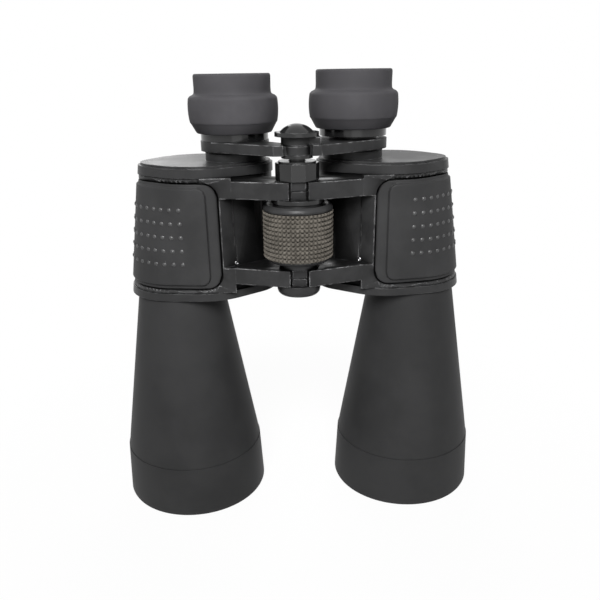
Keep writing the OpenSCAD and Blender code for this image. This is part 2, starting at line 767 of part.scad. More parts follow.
module part() {
  objective = [objective_x, objective_back];
  turning = [turn_x, turn_y];
  eyepiece = [eyepiece_x, eyepiece_back];
  hood(LEFT);  // left_hood
  hood(RIGHT);  // right_hood
  barrel(LEFT);  // left_barrel
  barrel(RIGHT);  // right_barrel
  objective_lens(LEFT);  // left_objective_lens
  objective_lens(RIGHT);  // right_objective_lens
  lens_ring(LEFT);  // left_lens_ring
  lens_ring(RIGHT);  // right_lens_ring
  front_cover(LEFT);  // left_front_cover
  front_cover(RIGHT);  // right_front_cover
  housing(LEFT);  // left_housing
  housing(RIGHT);  // right_housing
  rear_cover(LEFT);  // left_rear_cover
  rear_cover(RIGHT);  // right_rear_cover
  grip_pad(LEFT);  // left_grip_pad
  grip_pad(RIGHT);  // right_grip_pad
  prism_shelf(LEFT);  // left_prism_shelf
  prism_shelf(RIGHT);  // right_prism_shelf
  prism(LEFT, objective, turning, 1);  // left_rear_prism
  prism(RIGHT, objective, turning, 1);  // right_rear_prism
  prism(LEFT, turning, eyepiece, -1);  // left_front_prism
  prism(RIGHT, turning, eyepiece, -1);  // right_front_prism
  prism_clips(LEFT);  // left_prism_clips
  prism_clips(RIGHT);  // right_prism_clips
  bridge_arm(LEFT);  // left_bridge_arm
  bridge_arm(RIGHT);  // right_bridge_arm
  eye_barrel(LEFT);  // left_eye_barrel
  eye_barrel(RIGHT);  // right_eye_barrel
  lens_tube(LEFT);  // left_lens_tube
  lens_tube(RIGHT);  // right_lens_tube
  field_lens(LEFT);  // left_field_lens
  field_lens(RIGHT);  // right_field_lens
  eye_lens(LEFT);  // left_eye_lens
  eye_lens(RIGHT);  // right_eye_lens
  neck(LEFT);  // left_neck
  neck(RIGHT);  // dioptre_ring
  eyecup(LEFT);  // left_eyecup
  eyecup(RIGHT);  // right_eyecup
  hinge_axle();
  hinge_sleeve();
  tension_collar();
  end_cap();
  focus_wheel();
  focus_grip();
  focus_shaft();
  bridge_cap();
}

translate([0, -objective_back, 0]) part();
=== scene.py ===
# %% [markdown]
# # Porro-prism binoculars, from bare solids to a finished picture
# The solids come from a CAD model that is already packed as a frame: two objective
# barrels, two prism housings, a folding hinge, a focus wheel and two eyepieces.
# This lesson dresses them. Most metal pieces keep their CAD shape and get a finish.
# The castings get a few small cuts. Rubber pieces, which CAD draws too plainly, are
# modelled again here.

# %% Load the frame
import json
import math

import bpy
import numpy as np
from mathutils import Matrix, Vector


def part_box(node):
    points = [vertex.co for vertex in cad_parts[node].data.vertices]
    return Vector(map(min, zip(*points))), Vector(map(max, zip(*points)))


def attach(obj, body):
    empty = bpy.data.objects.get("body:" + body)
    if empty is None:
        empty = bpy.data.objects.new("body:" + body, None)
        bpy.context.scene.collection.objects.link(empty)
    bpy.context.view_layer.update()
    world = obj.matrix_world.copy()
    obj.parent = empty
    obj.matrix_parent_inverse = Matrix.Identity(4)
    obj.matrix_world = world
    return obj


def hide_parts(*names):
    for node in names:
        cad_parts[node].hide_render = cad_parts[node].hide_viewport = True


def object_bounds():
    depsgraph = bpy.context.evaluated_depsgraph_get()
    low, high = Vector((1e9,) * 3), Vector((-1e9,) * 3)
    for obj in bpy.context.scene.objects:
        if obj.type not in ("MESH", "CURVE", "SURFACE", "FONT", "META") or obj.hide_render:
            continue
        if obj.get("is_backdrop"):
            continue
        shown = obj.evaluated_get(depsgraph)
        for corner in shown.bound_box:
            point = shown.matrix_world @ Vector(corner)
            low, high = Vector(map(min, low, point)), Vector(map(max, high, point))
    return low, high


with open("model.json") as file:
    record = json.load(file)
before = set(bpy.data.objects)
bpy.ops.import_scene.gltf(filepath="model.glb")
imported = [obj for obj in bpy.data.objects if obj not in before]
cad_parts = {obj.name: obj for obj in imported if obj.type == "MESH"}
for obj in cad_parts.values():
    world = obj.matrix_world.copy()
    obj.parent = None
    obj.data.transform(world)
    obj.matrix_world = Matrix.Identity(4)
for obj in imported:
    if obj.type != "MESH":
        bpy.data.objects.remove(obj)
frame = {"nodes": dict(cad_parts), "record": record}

nodes = frame["nodes"]
cad_low, cad_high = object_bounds()
print("solids:", len(nodes), "size in mm:", [round(v * 1000, 1) for v in cad_high - cad_low])

# %% [markdown]
# ## Sizes that the whole script shares
# Blender works in metres here, and a maker thinks in millimetres, so one small
# constant turns one into the other. The places of the axes are read from the
# solids' own boxes, so nothing has to be fitted by eye.

# %% Axes and heights
MM = 0.001


def middle(node):
    """The middle of a solid's box."""
    low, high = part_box(node)
    return (low + high) / 2


hinge = middle("hinge_axle")
objective = middle("right_barrel")
eyepiece = middle("right_eyecup")
housing_low, housing_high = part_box("right_housing")
hinge_y = hinge.y / MM
foot_z, top_z = housing_low.z / MM, housing_high.z / MM
table_height = cad_low.z
print("hinge axis at y =", round(hinge_y, 2), "mm")
print("castings from", round(foot_z, 3), "to", round(top_z, 3), "mm above the table")
print("eyepieces", round(2 * eyepiece.x / MM, 1), "mm apart")

# %% [markdown]
# ## The camera
# It stands at the height of the eyecups, about thirty centimetres in front, and
# looks down a little. A camera can be aimed with a constraint or with angles.
# Angles are used, because they keep the small lean of a hand-held camera. A little
# upward shift keeps the upright barrels from leaning together too much.

# %% Place the camera
CAMERA_AT = Vector((-14.9, -302.9, 210.0)) * MM
LOOKS_DOWN, LOOKS_RIGHT, LEANS = 23.49, 3.04, 0.84
SENSOR_MM, FOCAL_MM, SHIFT_UP = 36, 37.65, 0.075
NEAREST, FURTHEST = 0.01, 20

down, right, lean = (math.radians(a) for a in (LOOKS_DOWN, LOOKS_RIGHT, LEANS))
forward = Vector((
    math.sin(right) * math.cos(down),
    math.cos(right) * math.cos(down),
    -math.sin(down),
))
level = Vector((math.cos(right), -math.sin(right), 0))
above = level.cross(forward)
side_axis = level * math.cos(lean) - above * math.sin(lean)
up_axis = level * math.sin(lean) + above * math.cos(lean)

camera = bpy.data.objects.new("camera", bpy.data.cameras.new("camera"))
bpy.context.scene.collection.objects.link(camera)
turned = Matrix((side_axis, up_axis, -forward)).transposed().to_4x4()
turned.translation = CAMERA_AT
camera.matrix_world = turned
camera.data.sensor_width = SENSOR_MM
camera.data.lens = FOCAL_MM
camera.data.shift_y = SHIFT_UP
camera.data.clip_start, camera.data.clip_end = NEAREST, FURTHEST
bpy.context.scene.camera = camera
bpy.context.scene.view_settings.view_transform = "Standard"
print("camera at", [round(c, 3) for c in camera.location])

# %% [markdown]
# ## Small tools for nodes
# A node tree can be clicked together or written. Written out, most lines only join
# sockets, so a few helpers do the joining. Each takes sockets or plain numbers,
# makes one node, and gives back the socket with the result.

# %% Node helpers
def feed(tree, value, socket):
    """Gives a socket its value: a link from another socket, or a plain number or colour."""
    if isinstance(value, bpy.types.NodeSocket):
        tree.links.new(value, socket)
    else:
        socket.default_value = value


def calculate(tree, operation, first, second):
    """The result of a math node."""
    node = tree.nodes.new("ShaderNodeMath")
    node.operation = operation
    feed(tree, first, node.inputs[0])
    feed(tree, second, node.inputs[1])
    return node.outputs[0]


def soft_step(tree, value, low, high, bottom=0.0, top=1.0):
    """Bottom where value is below low, top where it is above high, and a soft rise between."""
    node = tree.nodes.new("ShaderNodeMapRange")
    node.interpolation_type = "SMOOTHSTEP"
    numbers = {"From Min": low, "From Max": high, "To Min": bottom, "To Max": top}
    for name, number in numbers.items():
        node.inputs[name].default_value = number
    feed(tree, value, node.inputs["Value"])
    return node.outputs["Result"]


def between(tree, mask, low, high):
    """Turns a mask from 0 to 1 into a value from low to high."""
    node = tree.nodes.new("ShaderNodeMapRange")
    node.inputs["To Min"].default_value = low
    node.inputs["To Max"].default_value = high
    feed(tree, mask, node.inputs["Value"])
    return node.outputs["Result"]


def mixed_shaders(tree, share, first, second):
    """Two shader nodes mixed: all first at share 0, all second at share 1."""
    node = tree.nodes.new("ShaderNodeMixShader")
    feed(tree, share, node.inputs["Fac"])
    feed(tree, first.outputs[0], node.inputs[1])
    feed(tree, second.outputs[0], node.inputs[2])
    return node.outputs[0]


print("node helpers ready")

# %% [markdown]
# ## The white room
# Black things show mostly what they mirror, so the room matters more than the lamps.
# A picture of a room could be wrapped round the object. Plain white is chosen
# instead: the world is white to the camera, in reflections and through glass, and a
# calm grey as a light, so the object isn't washed out.

# %% The world
ROOM_LIGHT = 0.14


def seen_ray(tree):
    """A mask that is 1 for rays that show the background: direct, mirrored or through glass."""
    path = tree.nodes.new("ShaderNodeLightPath").outputs
    direct = calculate(tree, "MAXIMUM", path["Is Camera Ray"], path["Is Glossy Ray"])
    return calculate(tree, "MAXIMUM", direct, path["Is Transmission Ray"])


def white_background(tree, strength):
    """A plain white background of the given strength."""
    node = tree.nodes.new("ShaderNodeBackground")
    node.inputs["Color"].default_value = (1, 1, 1, 1)
    node.inputs["Strength"].default_value = strength
    return node


world = bpy.data.worlds.new("white room")
bpy.context.scene.world = world
world.use_nodes = True
room = world.node_tree
room.nodes.clear()
room_out = room.nodes.new("ShaderNodeOutputWorld")
as_light, as_seen = white_background(room, ROOM_LIGHT), white_background(room, 1)
feed(room, mixed_shaders(room, seen_ray(room), as_light, as_seen), room_out.inputs["Surface"])
print("the room looks white and lights with strength", ROOM_LIGHT)

# %% [markdown]
# ## Soft studio lamps
# Bare bulbs would leave hard little glints on black things, so large soft boxes are
# used. The main one hangs above the front, near the eyecups, so the tone falls off
# gently towards the table. A weak one fills the front, one behind on the left lays a
# sheen on the flat tops, and a low one lights the back without a reflection. Each has
# a grid that narrows its beam.

# %% Lamps
def soft_lamp(name, at, aim, size, power, beam):
    """A square soft box with a grid in front: it points at a place, and beam is its angle."""
    lamp = bpy.data.lights.new(name, "AREA")
    lamp.shape = "SQUARE"
    lamp.size = size
    lamp.energy = power
    lamp.spread = math.radians(beam)
    holder = bpy.data.objects.new(name, lamp)
    bpy.context.scene.collection.objects.link(holder)
    holder.location = at
    holder.rotation_euler = (Vector(aim) - Vector(at)).to_track_quat("-Z", "Y").to_euler()
    holder.visible_camera = False
    return holder


soft_lamp("overhead_lamp", at=(-0.06, -0.50, 0.56), aim=(0, -0.02, 0.22), size=0.34,
          power=1.25, beam=70)
soft_lamp("front_fill", at=(0.10, -0.80, 0.24), aim=(0, 0, 0.16), size=0.5,
          power=0.16, beam=100)
soft_lamp("back_lamp", at=(-0.30, 0.95, 0.56), aim=(-0.04, 0.02, 0.17), size=0.34,
          power=0.34, beam=90)
rear_fill = soft_lamp("rear_fill", at=(0.14, 0.85, 0.12), aim=(0, 0, 0.13), size=0.5,
                      power=3.0, beam=100)
rear_fill.visible_glossy = False

# %% [markdown]
# ## The table
# A plain pale floor. Ordinary white paint would need a lot of light to look white. So
# to the camera it glows evenly white, and near the object a small share of it is
# ordinary paint that takes light, so the soft contact shadow stays.

# %% Make the table
SHADOW_SHARE, SHADOW_REACH = 0.06, 0.24
FULL_SHADOW_REACH = 0.4 * SHADOW_REACH
TABLE_SIZE, TABLE_DROP, TABLE_WHITE = 6, 0.0002, (0.93, 0.93, 0.925, 1)

bpy.ops.mesh.primitive_plane_add(size=TABLE_SIZE, location=(0, 0, table_height - TABLE_DROP))
table = bpy.context.object
table.name = "table"
table_paint = bpy.data.materials.new("table paint")
table_paint.use_nodes = True
tree = table_paint.node_tree
tree.nodes.clear()
table_out = tree.nodes.new("ShaderNodeOutputMaterial")
lit = tree.nodes.new("ShaderNodeBsdfDiffuse")
lit.inputs["Color"].default_value = TABLE_WHITE
glow = tree.nodes.new("ShaderNodeEmission")
glow.inputs["Strength"].default_value = 1
away = tree.nodes.new("ShaderNodeVectorMath")
away.operation = "LENGTH"
feed(tree, tree.nodes.new("ShaderNodeTexCoord").outputs["Object"], away.inputs[0])
near = soft_step(tree, away.outputs["Value"], FULL_SHADOW_REACH, SHADOW_REACH,
                 bottom=1 - SHADOW_SHARE)
share = calculate(tree, "MULTIPLY", seen_ray(tree), near)
feed(tree, mixed_shaders(tree, share, lit, glow), table_out.inputs["Surface"])
table.data.materials.append(table_paint)
table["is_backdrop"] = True
print("table at z =", round(table.location.z, 4))

# %% [markdown]
# ## Tone drift
# A real black surface is never one black: paint drifts in tone, and rubber blooms
# grey where it was handled. An effect that many finishes share is a node group with
# named inputs, built once, so that every finish uses it with its own amounts. This
# first one lays slow patches of a lighter tone over a base colour.

# %% The tone drift group
FLOAT, COLOUR, VECTOR = "NodeSocketFloat", "NodeSocketColor", "NodeSocketVector"


def new_group(name, inputs, outputs):
    """A shader group with named sockets: its tree, what it is given, and where results go."""
    group = bpy.data.node_groups.new(name, "ShaderNodeTree")
    for socket, kind, value in inputs:
        made = group.interface.new_socket(socket, in_out="INPUT", socket_type=kind)
        made.default_value = value
    for socket, kind in outputs:
        group.interface.new_socket(socket, in_out="OUTPUT", socket_type=kind)
    entry, leave = group.nodes.new("NodeGroupInput"), group.nodes.new("NodeGroupOutput")
    return group, entry.outputs, leave.inputs


def noise(tree, scale, detail, roughness):
    """Noise from 0 to 1 in the piece's own coordinates."""
    where = tree.nodes.new("ShaderNodeTexCoord")
    cloud = tree.nodes.new("ShaderNodeTexNoise")
    cloud.inputs["Detail"].default_value = detail
    cloud.inputs["Roughness"].default_value = roughness
    feed(tree, where.outputs["Object"], cloud.inputs["Vector"])
    feed(tree, scale, cloud.inputs["Scale"])
    return cloud.outputs["Fac"]


def mixed_colours(tree, share, first, second):
    """Two colours mixed: all first at share 0, all second at share 1."""
    node = tree.nodes.new("ShaderNodeMix")
    node.data_type = "RGBA"
    feed(tree, share, node.inputs["Factor"])
    feed(tree, first, node.inputs[6])
    feed(tree, second, node.inputs[7])
    return node.outputs[2]


drift_group, given, result = new_group(
    "Tone drift",
    [("Base", COLOUR, (0.02, 0.02, 0.02, 1)), ("Patch", COLOUR, (0.03, 0.03, 0.03, 1)),
     ("Patch Scale", FLOAT, 40.0), ("Patch Share", FLOAT, 0.5)],
    [("Colour", COLOUR), ("Patch Mask", FLOAT)])
patches = soft_step(drift_group, noise(drift_group, given["Patch Scale"], 4.0, 0.6), 0.35, 0.68)
amount = calculate(drift_group, "MULTIPLY", patches, given["Patch Share"])
drifted = mixed_colours(drift_group, amount, given["Base"], given["Patch"])
feed(drift_group, drifted, result["Colour"])
feed(drift_group, amount, result["Patch Mask"])
print("group:", drift_group.name)

# %% [markdown]
# ## Surface grain
# Cast metal has a coarse grain and paint a fine tooth, and rubber takes both from
# its mould. Modelled grain would need millions of faces. Instead two noises, coarse
# and fine, are mixed into a height, and a bump node makes the light believe it.

# %% The grain group
grain_group, given, result = new_group(
    "Surface grain",
    [("Coarse Scale", FLOAT, 900.0), ("Fine Scale", FLOAT, 3200.0), ("Fine Share", FLOAT, 0.4)],
    [("Height", FLOAT)])
both = grain_group.nodes.new("ShaderNodeMix")
both.data_type = "FLOAT"
feed(grain_group, given["Fine Share"], both.inputs["Factor"])
feed(grain_group, noise(grain_group, given["Coarse Scale"], 2.0, 0.5), both.inputs[2])
feed(grain_group, noise(grain_group, given["Fine Scale"], 2.0, 0.6), both.inputs[3])
feed(grain_group, both.outputs[0], result["Height"])
print("group:", grain_group.name)

# %% [markdown]
# ## Edge wear and painted highlight
# Handling rubs edges pale, and rounded edges catch the light. Both are painted here as
# one paler edge colour. Painting each edge by hand is slow, so the shader finds
# them: a rounded normal differs from the true one only near an edge, so the
# difference of the two is a mask of the edges. Noise breaks it up, as handling does.

# %% The edge wear and painted highlight group
FLAT_MATCH, EDGE_MATCH = 0.995, 0.85

wear_and_highlight_group, given, result = new_group(
    "Edge wear and highlight",
    [("Edge Width", FLOAT, 0.0006), ("Wear Scale", FLOAT, 220.0), ("Wear Amount", FLOAT, 0.5)],
    [("Wear And Highlight Mask", FLOAT), ("Rounded Normal", VECTOR)])
soft_edge = wear_and_highlight_group.nodes.new("ShaderNodeBevel")
soft_edge.samples = 4
feed(wear_and_highlight_group, given["Edge Width"], soft_edge.inputs["Radius"])
match = wear_and_highlight_group.nodes.new("ShaderNodeVectorMath")
match.operation = "DOT_PRODUCT"
true_normal = wear_and_highlight_group.nodes.new("ShaderNodeNewGeometry").outputs["Normal"]
feed(wear_and_highlight_group, soft_edge.outputs["Normal"], match.inputs[0])
feed(wear_and_highlight_group, true_normal, match.inputs[1])
edge = wear_and_highlight_group.nodes.new("ShaderNodeMapRange")
edge.inputs["From Min"].default_value = FLAT_MATCH
edge.inputs["From Max"].default_value = EDGE_MATCH
feed(wear_and_highlight_group, match.outputs["Value"], edge.inputs["Value"])
broken = soft_step(wear_and_highlight_group, noise(wear_and_highlight_group, given["Wear Scale"], 4.0, 0.65), 0.42, 0.62)
wear_and_highlight = calculate(wear_and_highlight_group, "MULTIPLY", edge.outputs["Result"], broken)
wear_and_highlight_share = calculate(wear_and_highlight_group, "MULTIPLY", wear_and_highlight, given["Wear Amount"])
feed(wear_and_highlight_group, wear_and_highlight_share, result["Wear And Highlight Mask"])
feed(wear_and_highlight_group, soft_edge.outputs["Normal"], result["Rounded Normal"])
print("group:", wear_and_highlight_group.name)

# %% [markdown]
# ## Painted shade in corners
# Little light reaches a corner, so paint looks darker in it. That shade is painted into
# the colour here: an ambient occlusion node measures how open a place is. The mask is 1
# on open faces and falls towards 0 deep in a corner or a window, where the colour darkens.

# %% The painted shade group
painted_shade_group, given, result = new_group(
    "Painted shade", [("Reach", FLOAT, 0.004), ("Depth", FLOAT, 0.6)], [("Open Share", FLOAT)])
around = painted_shade_group.nodes.new("ShaderNodeAmbientOcclusion")
around.samples = 8
feed(painted_shade_group, given["Reach"], around.inputs["Distance"])
# painted shade: the less open a place is, the darker its colour is made
opened = soft_step(painted_shade_group, around.outputs["AO"], 0.25, 0.95)
closed_in = calculate(painted_shade_group, "SUBTRACT", 1.0, opened)
deeper = calculate(painted_shade_group, "MULTIPLY", closed_in, given["Depth"])
feed(painted_shade_group, calculate(painted_shade_group, "SUBTRACT", 1.0, deeper), result["Open Share"])
print("group:", painted_shade_group.name)

# %% [markdown]
# ## One recipe for every opaque finish
# Paint, anodising, rubber and moulded plastic differ in numbers, not in kind:
# a base colour with drift, a roughness that varies, a grain that lifts the
# surface, pale edges that are partly wear and partly a painted highlight, and painted
# shade that darkens the colour in corners. So one function builds them all from the
# groups, and each call below states the numbers of one finish. Levels are linear light.

# %% The recipe
WEAR_SCALE, COAT_ROUGHNESS, PAINTED_SHADE_LEVEL = 260.0, 0.12, 0.0015


def place_group(tree, group, **values):
    """Puts a group into a material and sets its inputs; underscores stand for spaces."""
    node = tree.nodes.new("ShaderNodeGroup")
    node.node_tree = group
    for name, value in values.items():
        node.inputs[name.replace("_", " ")].default_value = value
    return node.outputs


def grey(tone, tint):
    """A colour from one level and a slight tint."""
    return (tone * tint[0], tone * tint[1], tone * tint[2], 1)


def finish(name, base, patch, patch_scale, rough, rough_spread, coarse, fine, lift,
           fine_share=0.5, tint=(1.0, 1.0, 1.02), metallic=0.0, coat=0.0, wear=0.4,
           wear_width=0.6, wear_and_highlight_level=0.10, specular=0.5, reach=4.0, depth=0.5):
    """A material from the shared groups; lift, wear_width and reach are in millimetres."""
    material = bpy.data.materials.new(name)
    material.use_nodes = True
    tree = material.node_tree
    body = tree.nodes["Principled BSDF"].inputs
    body["Metallic"].default_value = metallic
    body["Coat Weight"].default_value = coat
    body["Coat Roughness"].default_value = COAT_ROUGHNESS
    body["Specular IOR Level"].default_value = specular
    drift = place_group(tree, drift_group, Base=grey(base, tint), Patch=grey(patch, tint),
                        Patch_Scale=patch_scale, Patch_Share=1.0)
    grain = place_group(tree, grain_group, Coarse_Scale=coarse, Fine_Scale=fine,
                        Fine_Share=fine_share)
    edges = place_group(tree, wear_and_highlight_group, Edge_Width=wear_width * MM, Wear_Scale=WEAR_SCALE,
                        Wear_Amount=wear)
    # painted shade: the base colour is darkened towards near black in corners and windows
    cavity = place_group(tree, painted_shade_group, Reach=reach * MM, Depth=depth)
    # pale edges: partly wear, partly a painted highlight
    worn_and_highlit = mixed_colours(tree, edges["Wear And Highlight Mask"], drift["Colour"], grey(wear_and_highlight_level, tint))
    dimmed = mixed_colours(tree, cavity["Open Share"], grey(PAINTED_SHADE_LEVEL, tint), worn_and_highlit)
    feed(tree, dimmed, body["Base Color"])
    feed(tree, between(tree, drift["Patch Mask"], rough - rough_spread, rough + rough_spread),
         body["Roughness"])
    bump = tree.nodes.new("ShaderNodeBump")
    bump.inputs["Distance"].default_value = lift * MM
    bump.inputs["Strength"].default_value = 1.0
    feed(tree, grain["Height"], bump.inputs["Height"])
    feed(tree, edges["Rounded Normal"], bump.inputs["Normal"])
    feed(tree, bump.outputs["Normal"], body["Normal"])
    return material


finishes = {}
print("the recipe is ready")

# %% [markdown]
# ## Paints
# Matt stoved paint covers the barrels, a slightly smoother one the cover plates, and a
# coarse crackle the castings and arms. The pale edges of the crackle and of the cover
# paint are partly wear and partly a painted highlight, and the crackle's windows and
# hinge gaps get a deep painted shade. The hinge parts have a deep gloss enamel,
# because their faces turn against each other.

# %% Mix the paints
finishes["barrel_coat"] = finish(
    "barrel paint", base=0.022, patch=0.029, patch_scale=30, rough=0.58, rough_spread=0.05,
    coarse=1500, fine=4200, lift=0.012, wear=0.1, wear_width=0.08, specular=0.13,
    reach=12, depth=0.0)
# pale edges: partly wear, partly a painted highlight; painted shade in corners
finishes["cover_paint"] = finish(
    "cover paint", base=0.024, patch=0.031, patch_scale=50, rough=0.36, rough_spread=0.05,
    coarse=1800, fine=5200, lift=0.006, wear=0.7, wear_width=0.5, wear_and_highlight_level=0.16,
    specular=0.14, reach=5, depth=0.6)
# pale edges: partly wear, partly a painted highlight; deep painted shade in the windows
finishes["casting_paint"] = finish(
    "casting paint", base=0.021, patch=0.030, patch_scale=90, rough=0.38, rough_spread=0.06,
    coarse=1100, fine=3300, fine_share=0.35, lift=0.026, wear=1.0, wear_width=0.8,
    wear_and_highlight_level=0.30, specular=0.16, reach=24, depth=0.97)
finishes["gloss_black"] = finish(
    "gloss black enamel", base=0.008, patch=0.012, patch_scale=60, rough=0.16,
    rough_spread=0.04, coarse=1400, fine=5200, fine_share=0.4, lift=0.002, coat=0.25,
    wear=0.5, wear_width=0.35, wear_and_highlight_level=0.16, specular=0.32, reach=5, depth=0.6)
print("paints:", len(finishes))

# %% [markdown]
# ## Rubbers and plastic
# Rubber that is handled blooms grey, so the eyecups are lighter and faintly violet,
# and the wheel's band is a warm grey-brown. The grips are darker, and fingers have
# polished their pips. Rubber mirrors little, and moulded plastic a bit more. Deep
# painted shade darkens the grooves round the grips' panels, the valleys between the
# wheel's knobs and the crease under each eyecup's collar.

# %% Mix the rubbers and the plastic
# deep painted shade in the grooves round the raised panel
finishes["grip_rubber"] = finish(
    "grip rubber", base=0.026, patch=0.034, patch_scale=45, rough=0.55, rough_spread=0.05,
    coarse=2200, fine=6000, lift=0.008, wear=0.25, wear_width=0.4, wear_and_highlight_level=0.07,
    specular=0.13, reach=2.4, depth=0.97)
finishes["polished_rubber"] = finish(
    "polished rubber", base=0.040, patch=0.050, patch_scale=45, rough=0.30,
    rough_spread=0.04, coarse=2200, fine=6000, lift=0.004, wear=0.3, wear_width=0.3,
    wear_and_highlight_level=0.12, specular=0.45, reach=1.0)
# painted shade in the crease under the collar
finishes["eyecup_rubber"] = finish(
    "eyecup rubber", base=0.055, patch=0.070, patch_scale=35, rough=0.60, rough_spread=0.05,
    coarse=1900, fine=5600, lift=0.008, tint=(1.0, 0.975, 1.04), wear=0.2,
    wear_and_highlight_level=0.09, specular=0.04, reach=3, depth=0.6)
# deep painted shade in the valleys between the knobs
finishes["wheel_rubber"] = finish(
    "wheel rubber", base=0.094, patch=0.130, patch_scale=160, rough=0.60, rough_spread=0.06,
    coarse=2400, fine=6500, lift=0.006, tint=(1.10, 1.0, 0.86), wear=0.5,
    wear_width=0.25, wear_and_highlight_level=0.20, specular=0.06, reach=1.3, depth=0.97)
finishes["moulded_black"] = finish(
    "moulded plastic", base=0.022, patch=0.028, patch_scale=70, rough=0.34,
    rough_spread=0.05, coarse=2000, fine=5600, lift=0.006, wear=0.4, wear_width=0.4,
    specular=0.20, reach=5, depth=0.7)
print("finishes so far:", len(finishes))

# %% [markdown]
# ## Metals
# The tubes and rings of the eyepieces are black anodised. That dyes the metal's own
# skin, so it is treated as a dark paint. Bare metal has a full metallic value, and
# its tone is the base colour itself.

# %% Mix the metals
finishes["black_anodised"] = finish(
    "black anodising", base=0.018, patch=0.024, patch_scale=80, rough=0.34,
    rough_spread=0.05, coarse=2600, fine=7000, lift=0.004, wear=0.3, specular=0.20)
finishes["bare_alloy"] = finish(
    "turned alloy", base=0.55, patch=0.62, patch_scale=90, rough=0.34, rough_spread=0.06,
    coarse=1500, fine=5200, lift=0.006, metallic=1.0, wear=0.0)
finishes["bare_steel"] = finish(
    "blackened steel", base=0.05, patch=0.07, patch_scale=90, rough=0.34, rough_spread=0.06,
    coarse=1500, fine=5200, lift=0.004, metallic=1.0, wear=0.0, reach=6, depth=0.8)
finishes["spring_steel"] = finish(
    "spring steel", base=0.60, patch=0.66, patch_scale=90, rough=0.26, rough_spread=0.05,
    coarse=1500, fine=5200, lift=0.003, metallic=1.0, wear=0.0)
print("finishes so far:", len(finishes))

# %% [markdown]
# ## Glass
# Lenses are clear glass with a thin coating that mirrors one colour. The glass
# keeps a plain metallic and transmission value, and faint cleaning smears live in
# its roughness. The coating's tint goes on the mirrored light.

# %% Lens and prism glass
GLASS_IOR, CLEAR_ROUGH, SMEAR_ROUGH = 1.52, 0.01, 0.03
SMEAR_TONE, SMEAR_SCALE = 0.94, 60


def glass(name, tint, mirror_tint):
    """Clear glass with a tinted coating and faint smears."""
    material = bpy.data.materials.new(name)
    material.use_nodes = True
    tree = material.node_tree
    body = tree.nodes["Principled BSDF"].inputs
    body["Transmission Weight"].default_value = 1.0
    body["IOR"].default_value = GLASS_IOR
    body["Specular Tint"].default_value = (*mirror_tint, 1)
    smeared = tuple(c * SMEAR_TONE for c in tint) + (1,)
    drift = place_group(tree, drift_group, Base=(*tint, 1), Patch=smeared,
                        Patch_Scale=SMEAR_SCALE, Patch_Share=1.0)
    feed(tree, drift["Colour"], body["Base Color"])
    feed(tree, between(tree, drift["Patch Mask"], CLEAR_ROUGH, CLEAR_ROUGH + SMEAR_ROUGH),
         body["Roughness"])
    return material


finishes["coated_glass"] = glass("coated lens glass", (0.80, 0.84, 0.92), (0.55, 0.35, 1.0))
finishes["prism_glass"] = glass("prism glass", (0.93, 0.96, 0.95), (1.0, 1.0, 1.0))
print("finishes:", len(finishes))

# %% [markdown]
# ## Dress the solids
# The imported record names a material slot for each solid, and the finishes above carry
# the same names. So a short loop dresses every solid, hidden ones included. Choosing
# by hand would work too, but forty-odd solids invite a slip.

# %% Give every solid its finish
slot_of = {row["node"]: row["material_slot"] for row in frame["record"]["subparts"]}
for name, solid in nodes.items():
    solid.data.materials.clear()
    solid.data.materials.append(finishes[slot_of[name]])
print("dressed:", len(nodes), "solids in", len(set(slot_of.values())), "finishes")

# %% [markdown]
# ## Mesh helpers
# Two ways of building a surface cover every rubber piece here. A grid of points
# becomes a sheet of quads, and a profile turned about an axis is such a grid that
# closes on itself. Both give even quads, which shade cleanly and take a bump well.

# %% Grid, lathe and rounded profile
def mesh_object(name, points, faces, material, smooth_angle=40):
    """A mesh object in metres, from points in millimetres."""
    mesh = bpy.data.meshes.new(name)
    mesh.from_pydata((np.asarray(points) * MM).tolist(), [], faces)
    mesh.validate()
    mesh.shade_smooth()
    mesh.set_sharp_from_angle(angle=math.radians(smooth_angle))
    mesh.materials.append(material)
    made = bpy.data.objects.new(name, mesh)
    bpy.context.scene.collection.objects.link(made)
    return made


def grid_faces(rows, columns, closed=False):
    """Quads of a grid whose points run along each row; closed joins a row's ends."""
    faces = []
    for row in range(rows - 1):
        for column in range(columns if closed else columns - 1):
            beside = (column + 1) % columns
            here = row * columns
            faces.append((here + column, here + beside, here + columns + beside,
                          here + columns + column))
    return faces


def turned_points(profile, centre, segments):
    """Points of a lathe: profile is a list of (radius, height) pairs in millimetres."""
    angles = np.linspace(0, 2 * math.pi, segments, endpoint=False)
    rings = [np.stack([centre[0] + radius * np.cos(angles), centre[1] + radius * np.sin(angles),
                       np.full(segments, height)], axis=1) for radius, height in profile]
    return np.concatenate(rings)


def rounded(profile, radius, steps):
    """Rounds every inner corner of a profile with a short curve of the given radius."""
    result = [profile[0]]
    for before, corner, after in zip(profile, profile[1:], profile[2:]):
        corner_v = np.array(corner, float)
        back, ahead = np.array(before) - corner_v, np.array(after) - corner_v
        reach = min(radius, 0.45 * np.linalg.norm(back), 0.45 * np.linalg.norm(ahead))
        first = corner_v + back / np.linalg.norm(back) * reach
        last = corner_v + ahead / np.linalg.norm(ahead) * reach
        for t in np.linspace(0, 1, steps):
            bend = first * (1 - t) ** 2 + corner_v * 2 * t * (1 - t) + last * t ** 2
            result.append(tuple(bend))
    return result + [profile[-1]]


def joined(parts):
    """Joins several (points, faces) pairs into one."""
    points, faces, start = [], [], 0
    for part_points, part_faces in parts:
        points.append(part_points)
        faces += [tuple(start + index for index in face) for face in part_faces]
        start += len(part_points)
    return np.concatenate(points), faces


print("mesh helpers ready")

# %% [markdown]
# ## The castings
# The casting draws back beside the wheel, so a strip next to the rubber stands
# proud and the rest falls away into shade. Each hinge lug stands back too, between
# two narrow dark gaps. These cuts are small and shallow, so a copy of the CAD solid
# gets them here. Each cutter is a prism over a plan, drawn from the hinge axis.

